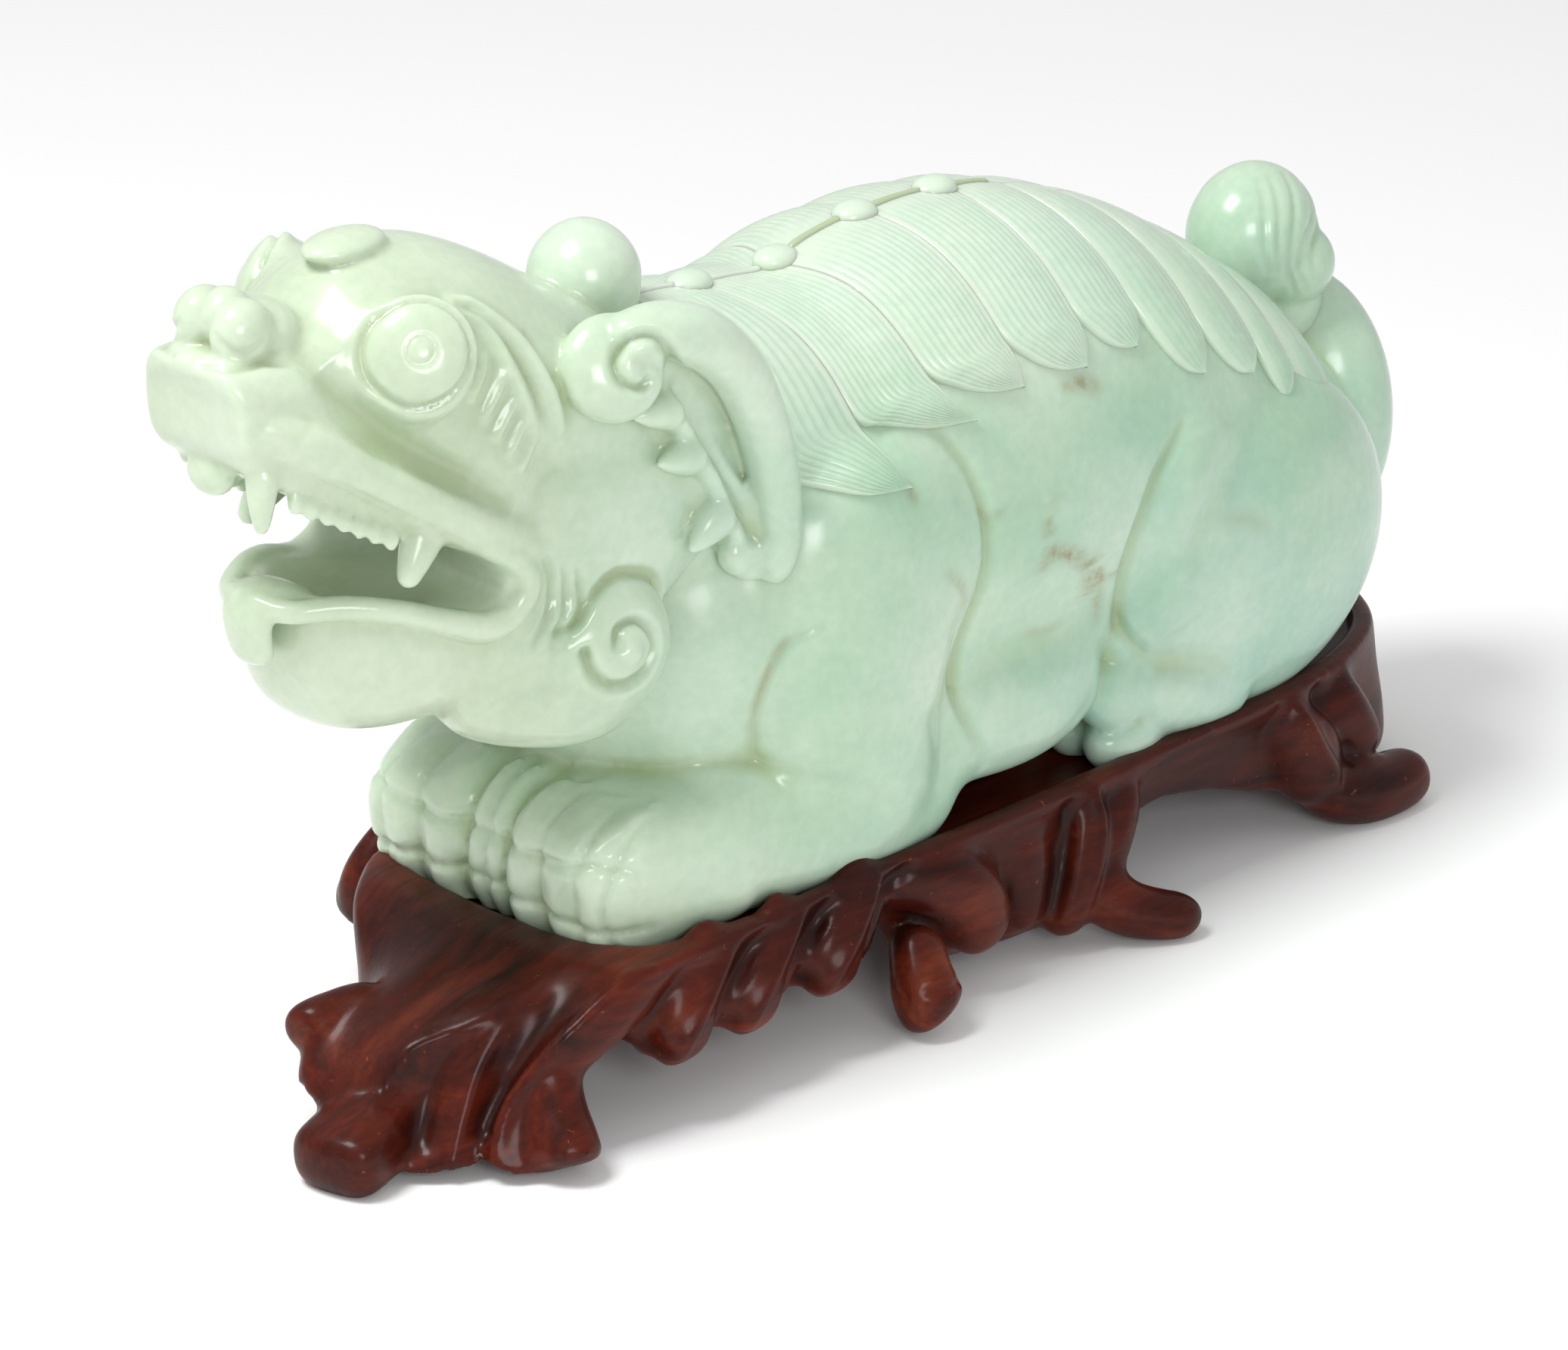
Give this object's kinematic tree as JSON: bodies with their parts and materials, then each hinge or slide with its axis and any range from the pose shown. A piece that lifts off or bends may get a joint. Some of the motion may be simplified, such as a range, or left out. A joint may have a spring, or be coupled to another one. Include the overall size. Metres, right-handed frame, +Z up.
{
  "type": "hardstone beast carving",
  "caption": "Crouching open-mouthed beast carved from pale green hardstone, lying in the recess of its carved dark wooden stand.",
  "frame": {"origin": "centre of the whole carving's extent in plan, on the surface that the stand's feet stand on", "axes": "+X from the head to the tail, +Y to the beast's right side, +Z up"},
  "size_m": [0.2796, 0.1076, 0.154],
  "materials": {
    "hardstone": "polished pale green, cloudy, slightly translucent",
    "dark_wood": "polished dark red-brown"
  },
  "bodies": {
    "root": {"hardstone_beast": "hardstone", "carved_wood_stand": "dark_wood"}
  },
  "joints": []
}
